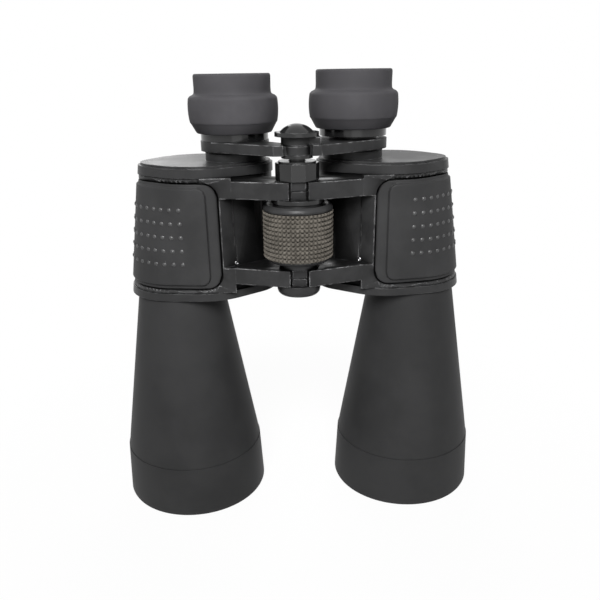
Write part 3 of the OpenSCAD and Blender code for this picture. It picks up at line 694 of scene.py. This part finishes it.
# %% Draw the cuts
STRIP_X, WINDOW_X, FRAME_FRONT, FALL_BACK = 34.7, 28.5, -1.4, 5.0
ARM_LOW, ARM_HIGH = (foot_z + 4.2, foot_z + 11.8), (top_z - 9.0, top_z - 1.4)
LUG_HALF, GAP_HALF, LUG_FRONT, SLOT_BACK = 3.3, 4.3, -8.1, -5.6
WEDGE_START_Y, LUG_START_Y, CUT_OVER = -3, -11, 0.3

wedge = [(WINDOW_X, WEDGE_START_Y), (STRIP_X, WEDGE_START_Y), (STRIP_X, FRAME_FRONT),
         (WINDOW_X, FRAME_FRONT + FALL_BACK)]
lug_cut = [(-GAP_HALF, LUG_START_Y), (GAP_HALF, LUG_START_Y), (GAP_HALF, SLOT_BACK),
           (LUG_HALF, SLOT_BACK), (LUG_HALF, LUG_FRONT), (-LUG_HALF, LUG_FRONT),
           (-LUG_HALF, SLOT_BACK), (-GAP_HALF, SLOT_BACK)]


def at_hinge(plan, mirror):
    """A plan drawn from the hinge axis for the right hand, moved to its place."""
    moved = [(mirror * x, hinge_y + y) for x, y in plan]
    return moved if mirror == 1 else moved[::-1]


def prism(plan, low_z, high_z):
    """Points and faces of an upright prism over a plan, in millimetres."""
    count = len(plan)
    points = np.array([(x, y, z) for z in (low_z, high_z) for x, y in plan], float)
    faces = [tuple(reversed(range(count))), tuple(range(count, 2 * count))]
    faces += [(k, (k + 1) % count, count + (k + 1) % count, count + k) for k in range(count)]
    return points, faces


print("hinge arms at", [round(z, 1) for z in ARM_LOW + ARM_HIGH], "mm")

# %% [markdown]
# A boolean could stay on the copy as a live modifier. Here it is applied, so that its
# result can be counted. If it fails, the script says so and the plain solid stays.

# %% Cut the castings
SIDES = (("right", 1), ("left", -1))
CASTING_SHARP = 30


def cut_copy(solid, name, parts):
    """A copy of a solid with the given prisms taken out of it, or None if that fails."""
    cutter = mesh_object("cutter", *joined(parts), finishes["casting_paint"])
    copy = bpy.data.objects.new(name, solid.data.copy())
    copy.matrix_world = solid.matrix_world.copy()
    bpy.context.scene.collection.objects.link(copy)
    cut = copy.modifiers.new("cut", "BOOLEAN")
    cut.operation, cut.solver, cut.object = "DIFFERENCE", "EXACT", cutter
    graph = bpy.context.evaluated_depsgraph_get()
    shaped = bpy.data.meshes.new_from_object(copy.evaluated_get(graph))
    bpy.data.objects.remove(cutter)
    if len(shaped.polygons) <= len(solid.data.polygons) // 2:
        print("the cut failed on", name, "and the plain solid stays")
        bpy.data.objects.remove(copy)
        return None
    copy.modifiers.clear()
    copy.data = shaped
    shaped.materials.clear()
    shaped.materials.append(finishes["casting_paint"])
    shaped.set_sharp_from_angle(angle=math.radians(CASTING_SHARP))
    return copy


castings = {}
for hand, mirror in SIDES:
    parts = [prism(at_hinge(wedge, mirror), ARM_LOW[1], ARM_HIGH[0])]
    for low_z, high_z in (ARM_LOW, ARM_HIGH):
        parts.append(prism(at_hinge(lug_cut, mirror), low_z - CUT_OVER, high_z + CUT_OVER))
    casting = cut_copy(nodes[hand + "_housing"], hand + "_casting", parts)
    castings[hand] = casting or nodes[hand + "_housing"]
    if casting:
        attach(casting, hand + "_half")
        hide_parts(hand + "_housing")
        print(casting.name, "has", len(casting.data.polygons), "faces")

# %% [markdown]
# ## The adjusting screws
# A small grub screw sits at the foot of each casting, where the prisms are set. It
# must lie flat on a curved wall. A ray from the front finds the wall and the way it
# faces there, which is surer than typing in a place.

# %% Set the two screws
SCREW_R, SCREW_H, SCREW_X, SCREW_Z = 0.95, 0.5, 29.0, foot_z + 13.1
SOCKET_R, SOCKET_FLOOR, SCREW_ROOT = 0.42, 0.12, -0.3
SCREW_SEGMENTS, IN_FRONT = 24, -0.3


def first_hit(solid, x, z):
    """Where a straight line from the front meets a solid, and which way it faces there."""
    start = solid.matrix_world.inverted() @ Vector((x * MM, IN_FRONT, z * MM))
    hit, place, normal, _ = solid.ray_cast(start, Vector((0, 1, 0)))
    assert hit, "nothing in front of " + solid.name
    return solid.matrix_world @ place, normal


profile = rounded([(0.0, SOCKET_FLOOR), (SOCKET_R, SOCKET_FLOOR), (SOCKET_R + 0.03, SCREW_H),
                   (SCREW_R, SCREW_H), (SCREW_R, SCREW_ROOT)], 0.12, steps=3)
for hand, mirror in SIDES:
    place, normal = first_hit(castings[hand], mirror * SCREW_X, SCREW_Z)
    points = turned_points(profile, (0, 0), SCREW_SEGMENTS)
    faces = grid_faces(len(profile), SCREW_SEGMENTS, closed=True)
    screw = mesh_object(hand + "_adjusting_screw", points, faces, finishes["spring_steel"])
    screw.matrix_world = (Matrix.Translation(place)
                          @ normal.to_track_quat("Z", "Y").to_matrix().to_4x4())
    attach(screw, hand + "_half")
    print(screw.name, "at", [round(v / MM, 1) for v in place])

# %% [markdown]
# ## The eyecups
# A real eyecup is one soft moulding: a thick band to grip, a soft shoulder and a
# thinner collar that rests round the eye and folds down for people with glasses.
# Turning one profile makes it. The corners are rounded, since a rubber mould has
# no sharp ones, apart from the lip of the chamfer under the band.

# %% The eyecup's profile
BAND_R, BAND_SWELL, COLLAR_R, CUP_WALL = 20.5, 0.55, 17.3, 2.0
COLLAR_H, SHOULDER_H = 8.0, 1.2
CHAMFER_H, CUP_FOOT_R, LENS_HOLE_R = 4.6, 17.2, 12.1
CUP_ROUND = 0.5


def eyecup_profile(foot, top):
    """Outside from the foot up, over the rim, and down the inside to the shelf round the lens."""
    band_top = top - COLLAR_H - SHOULDER_H
    lip = foot + CHAMFER_H
    inner_r = COLLAR_R - CUP_WALL
    swell = [(BAND_R - BAND_SWELL + BAND_SWELL * math.sin(math.pi * t) ** 0.8,
              lip + (band_top - lip) * t) for t in np.linspace(0.0, 0.92, 12)]
    outside = [(CUP_FOOT_R - 1.6, foot), (CUP_FOOT_R, foot), (BAND_R - 0.9, lip - 0.35)] + swell
    shoulder = [(BAND_R - 1.3, band_top + 0.1), (COLLAR_R + 1.0, band_top + 0.4),
                (COLLAR_R + 0.1, band_top + 1.0), (COLLAR_R - 0.05, band_top + 3)]
    rim = [(COLLAR_R, top - 0.9), (COLLAR_R - 0.3, top - 0.2), (COLLAR_R - 0.9, top),
           (inner_r + 0.4, top - 0.1), (inner_r, top - 0.7)]
    inside = [(inner_r, band_top + 0.8), (inner_r - 0.8, band_top), (LENS_HOLE_R, band_top)]
    return rounded(outside + shoulder + rim + inside, CUP_ROUND, steps=3)


print("the collar is", CUP_WALL, "mm thick and", COLLAR_H, "mm high")

# %% [markdown]
# Both cups are the same moulding, so one profile serves both. They stand at different
# heights, because the right one sits on the dioptre ring and turns with it.

# %% Turn the two eyecups
CUP_SEGMENTS = 120
CUP_BODY = {"left": "left_eyepiece", "right": "right_dioptre"}

for hand in ("left", "right"):
    low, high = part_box(hand + "_eyecup")
    profile = eyecup_profile(low.z / MM, high.z / MM)
    points = turned_points(profile, ((low + high) / 2) / MM, CUP_SEGMENTS)
    faces = grid_faces(len(profile), CUP_SEGMENTS, closed=True)
    cup = mesh_object(hand + "_eyecup_rubber", points, faces, finishes["eyecup_rubber"])
    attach(cup, CUP_BODY[hand])
    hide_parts(hand + "_eyecup")
    print(cup.name, "has", len(faces), "faces")

# %% [markdown]
# ## The focus wheel's grip
# The wheel wears a rubber band with a waffle of small square knobs. A bump map could
# fake them. They are real relief here, because they make the wheel's outline rough
# and catch the light one by one. The whole waffle is one closed grid of points.

# %% Knobs round the wheel
KNOBS_ROUND, KNOB_ROWS = 48, 11
KNOB_TOP_R, KNOB_VALLEY_R, BAND_BORE_R = 16.0, 15.1, 14.62
VALLEY_SHARE, SLOPE_SHARE = 0.10, 0.24
ACROSS = (0.0, 0.14, 0.26, 0.38, 0.62, 0.74, 0.86)


def knob_lift(share):
    """Height of a knob's side profile at a share of its pitch: 0 in the valley, 1 on top."""
    up_slope = (min(share, 1 - share) - VALLEY_SHARE) / SLOPE_SHARE
    return math.sin(0.5 * math.pi * min(1.0, max(0.0, up_slope)))


def round_hinge(radius, turn, height):
    """A point round the hinge axis; turn is a share of a full turn."""
    angle = turn * 2 * math.pi
    return (radius * math.cos(angle), hinge_y + radius * math.sin(angle), height)


low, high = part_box("focus_grip")
grip_low, grip_high = low.z / MM, high.z / MM
pitch_z = (grip_high - grip_low) / KNOB_ROWS
turns = [(knob + share) / KNOBS_ROUND for knob in range(KNOBS_ROUND) for share in ACROSS]
rises = [(row + share) * pitch_z for row in range(KNOB_ROWS) for share in ACROSS]
rises.append(KNOB_ROWS * pitch_z)
points = []
for rise in rises:
    row_lift = knob_lift((rise / pitch_z) % 1.0)
    for turn in turns:
        lift = row_lift * knob_lift((turn * KNOBS_ROUND) % 1.0)
        radius = KNOB_VALLEY_R + (KNOB_TOP_R - KNOB_VALLEY_R) * lift
        points.append(round_hinge(radius, turn, grip_low + rise))
faces = grid_faces(len(rises), len(turns), closed=True)
print("knobs:", KNOBS_ROUND * KNOB_ROWS)

# %% [markdown]
# The waffle is still an open sleeve. A flat ring at each end closes it down to the
# wheel's rim, so the band has a thickness and no light shows through.

# %% Close the band
ring = len(turns)
for height, edge_start in ((grip_low, 0), (grip_high, (len(rises) - 1) * ring)):
    inner_start = len(points)
    points += [round_hinge(BAND_BORE_R, turn, height) for turn in turns]
    for column in range(ring):
        beside = (column + 1) % ring
        quad = (edge_start + column, edge_start + beside, inner_start + beside,
                inner_start + column)
        faces.append(quad if height == grip_high else quad[::-1])
grip = mesh_object("focus_grip_rubber", points, faces, finishes["wheel_rubber"], smooth_angle=30)
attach(grip, "focus_wheel")
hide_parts("focus_grip")
print(grip.name, "has", len(faces), "faces")

# %% [markdown]
# ## The side grips
# Each prism housing carries a moulded rubber skin in a shallow pocket. It wraps
# round the outer end, with a flat border, a raised panel and five rows of small
# pips. The skin follows the casting, so its shape starts from the casting's own
# outline: at any height, three circles with a belt round them.

# %% The outline of the casting
FORM_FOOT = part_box("right_front_cover")[0].z / MM
PLATE_H = 5.0
FORM_TOP = top_z + PLATE_H
EYE_END_R, MIDDLE_R, OUTER_R = 16.5, 27.0, 23.7
MIDDLE_DRAFT, OUTER_DRAFT = 1.8, 9.1
MIDDLE_OUT, MIDDLE_BACK, OUTER_BACK = 1.5, 1, 2.7
FORM_ANGLES = np.radians(np.arange(-180, 180, 1.0))
NORMALS = np.stack([np.cos(FORM_ANGLES), np.sin(FORM_ANGLES)], axis=1)


def belt_round(rise):
    """The belt round the three circles, one point for each outward direction."""
    eye_x, eye_y = eyepiece.x / MM, eyepiece.y / MM
    far_x, far_y = objective.x / MM, objective.y / MM
    middle_at = ((eye_x + far_x) / 2 + MIDDLE_OUT, eye_y + MIDDLE_BACK)
    centres = np.array([(eye_x, eye_y), middle_at, (far_x, far_y + OUTER_BACK)])
    radii = np.array([EYE_END_R, MIDDLE_R - MIDDLE_DRAFT * rise, OUTER_R - OUTER_DRAFT * rise])
    furthest = np.argmax(NORMALS @ centres.T + radii, axis=1)
    return centres[furthest] + radii[furthest, None] * NORMALS


FOOT_BELT, TOP_BELT = (belt_round((z - FORM_FOOT) / (FORM_TOP - FORM_FOOT))
                       for z in (foot_z, top_z))


def casting_outline(height, inner_x):
    """Points, outward normals and arc lengths round the right casting, front to back."""
    share = (height - foot_z) / (top_z - foot_z)
    points = FOOT_BELT * (1 - share) + TOP_BELT * share
    lengths = np.concatenate([[0], np.cumsum(np.linalg.norm(np.diff(points, axis=0), axis=1))])
    front = FORM_ANGLES < 0
    start = np.interp(inner_x, points[front][:, 0], lengths[front])
    end = np.interp(-inner_x, -points[~front][:, 0], lengths[~front])
    return points, NORMALS, lengths, start, end


def on_casting(outline, distances, grow):
    """Places points at distances along an outline, lifted off it by grow (one value or many)."""
    points, normals, lengths, start, _ = outline
    where = start + np.asarray(distances)
    xy = [np.interp(where, lengths, points[:, k]) for k in (0, 1)]
    facing = [np.interp(where, lengths, normals[:, k]) for k in (0, 1)]
    size = np.hypot(*facing)
    return np.stack([xy[k] + grow * facing[k] / size for k in (0, 1)], axis=1)


print("casting is", round(FORM_TOP - FORM_FOOT, 1), "mm high over its plates")

# %% [markdown]
# A patch of skin is a window on the casting with round corners, and its rim rolls over
# and goes down to a foot. Bevelling a flat sheet could do it. A grid bent round the
# casting is surer, if its lines crowd together near the rim, where the surface bends.

# %% A skin patch with rounded corners and edges
PATCH_ROWS, RIM_LINE = 18, 1.1
def near_edge(step_list, count, total):
    """Distances from an edge: fine steps first, then even ones, then fine steps again."""
    inner = np.linspace(step_list[-1], total - step_list[-1], count)
    return np.concatenate([step_list, inner[1:-1], [total - s for s in reversed(step_list)]])


def skin_patch(inner_x, low_z, high_z, corner, foot, top, edge_round, columns, draft=0.0):
    """Grid of a rubber skin: a rounded window on the casting, its sides going down to foot."""
    fine = [0.0, 0.12 * edge_round, 0.4 * edge_round, edge_round, RIM_LINE, corner * 0.4, corner]
    fine = sorted(set(round(f, 4) for f in fine))
    heights = low_z + near_edge(fine, PATCH_ROWS, high_z - low_z)
    heights = np.concatenate([[heights[0] - draft], heights, [heights[-1] + draft]])
    rows = []
    for row, height in enumerate(heights):
        outline = casting_outline(height, inner_x)
        length = outline[4] - outline[3]
        from_end = max(0.0, min(height - low_z, high_z - height))
        inset = 0.0
        if from_end < corner:
            inset = corner - math.sqrt(max(0.0, corner ** 2 - (corner - from_end) ** 2))
        along = inset + near_edge(fine, columns, length - 2 * inset)
        along = np.concatenate([[along[0] - draft], along, [along[-1] + draft]])
        across = np.abs(along - length / 2) - (length / 2 - corner)
        upright = abs(height - (low_z + high_z) / 2) - ((high_z - low_z) / 2 - corner)
        outside = np.hypot(np.maximum(across, 0), max(upright, 0))
        depth = corner - outside - np.minimum(np.maximum(across, upright), 0)
        dip = edge_round - np.clip(depth, 0, edge_round)
        lift = top - edge_round + np.sqrt(edge_round ** 2 - dip ** 2)
        lift[[0, -1]] = foot
        if row in (0, len(heights) - 1):
            lift[:] = foot
        spots = on_casting(outline, along, lift)
        rows.append(np.column_stack([spots, np.full(len(along), height)]))
    return np.concatenate(rows), grid_faces(len(rows), len(rows[0]))


print("patch builder ready")

# %% [markdown]
# The pips keep a wet hand from slipping. Each is a low dome of three rings and a tip.
# They are small, so few faces are enough, and they follow the curve of the casting
# like the skin under them. The two grips have their rows at slightly different heights.

# %% Pips on the raised panel
PIP_R, PIP_LIFT, PIP_SIDES = 1.0, 0.5, 12
PIP_RINGS = ((1.0, -0.05), (0.82, 0.45), (0.45, 0.88))
PIP_PITCH, PIP_FIRST_X = 4.3, 53.0
PIP_ROWS, PIP_ROW_PITCH = 5, 6.15
PIP_TOP_ROW = {"left": top_z - 13.7, "right": top_z - 11.4}


def pip(outline, distance, height, base):
    """A low dome that stands on the panel: its rings and a tip."""
    around = np.linspace(0, 2 * math.pi, PIP_SIDES, endpoint=False)
    points = []
    for share, up in PIP_RINGS:
        spots = on_casting(outline, distance + PIP_R * share * np.cos(around),
                           base + PIP_LIFT * up)
        points.append(np.column_stack([spots, height + PIP_R * share * np.sin(around)]))
    tip = on_casting(outline, [distance], base + PIP_LIFT)[0]
    points.append([[tip[0], tip[1], height]])
    faces = grid_faces(len(PIP_RINGS), PIP_SIDES, closed=True)
    last, tip_index = (len(PIP_RINGS) - 1) * PIP_SIDES, len(PIP_RINGS) * PIP_SIDES
    faces += [(last + k, last + (k + 1) % PIP_SIDES, tip_index) for k in range(PIP_SIDES)]
    return np.concatenate(points), faces


def pip_rows(hand, base):
    """All the pips of one grip."""
    pips = []
    for row in range(PIP_ROWS):
        height = PIP_TOP_ROW[hand] - row * PIP_ROW_PITCH
        outline = casting_outline(height, PIP_FIRST_X)
        for distance in np.arange(0, outline[4] - outline[3] + 0.1, PIP_PITCH):
            pips.append(pip(outline, distance, height, base))
    return pips


print("pips ready")

# %% [markdown]
# Border, panel and pips are joined into one skin, because the real grip is one
# moulding. The left one is the right one mirrored, and a mirrored face has to be
# turned round to face out again. Only the pips get the polished rubber.

# %% Make both grips
PAD_EDGE_X, PAD_MARGIN, PAD_CORNER, BORDER_ROUND = 35.7, 2.5, 6.3, 0.35
PAD_BORDER, PANEL_MARGIN, PANEL_CORNER, PANEL_ROUND = 5.5, 1.8, 3.5, 0.3
BORDER_LIFT, PANEL_LIFT, SKIN_FOOT, PANEL_FOOT, PANEL_DRAFT = 0.1, 1.0, -1.1, 0.1, 0.7
BORDER_COLUMNS, PANEL_COLUMNS = 40, 44

pad_low, pad_high = foot_z + PAD_MARGIN, top_z - PAD_MARGIN
border = skin_patch(PAD_EDGE_X, pad_low, pad_high, PAD_CORNER, SKIN_FOOT, BORDER_LIFT,
                    BORDER_ROUND, BORDER_COLUMNS)
panel = skin_patch(PAD_EDGE_X + PAD_BORDER, pad_low + PANEL_MARGIN, pad_high - PANEL_MARGIN,
                   PANEL_CORNER, PANEL_FOOT, PANEL_LIFT, PANEL_ROUND, PANEL_COLUMNS,
                   draft=PANEL_DRAFT)
plain = len(border[1]) + len(panel[1])
for hand, mirror in SIDES:
    pips = pip_rows(hand, PANEL_LIFT)
    points, faces = joined([border, panel] + pips)
    points = points * (mirror, 1, 1)
    faces = faces if mirror == 1 else [face[::-1] for face in faces]
    skin = mesh_object(hand + "_grip_skin", points, faces, finishes["grip_rubber"])
    skin.data.materials.append(finishes["polished_rubber"])
    for face in skin.data.polygons[plain:]:
        face.material_index = 1
    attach(skin, hand + "_half")
    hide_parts(hand + "_grip_pad")
    print(skin.name, "has", len(faces), "faces and", len(pips), "pips")

# %% [markdown]
# ## The final size
# The dressed model must be as big as the CAD model it stands for, so its size is
# printed here, to set against the CAD size printed at the start.

# %% Note the size
low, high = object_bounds()
print("visual size in mm:", [round(v * 1000, 1) for v in high - low])
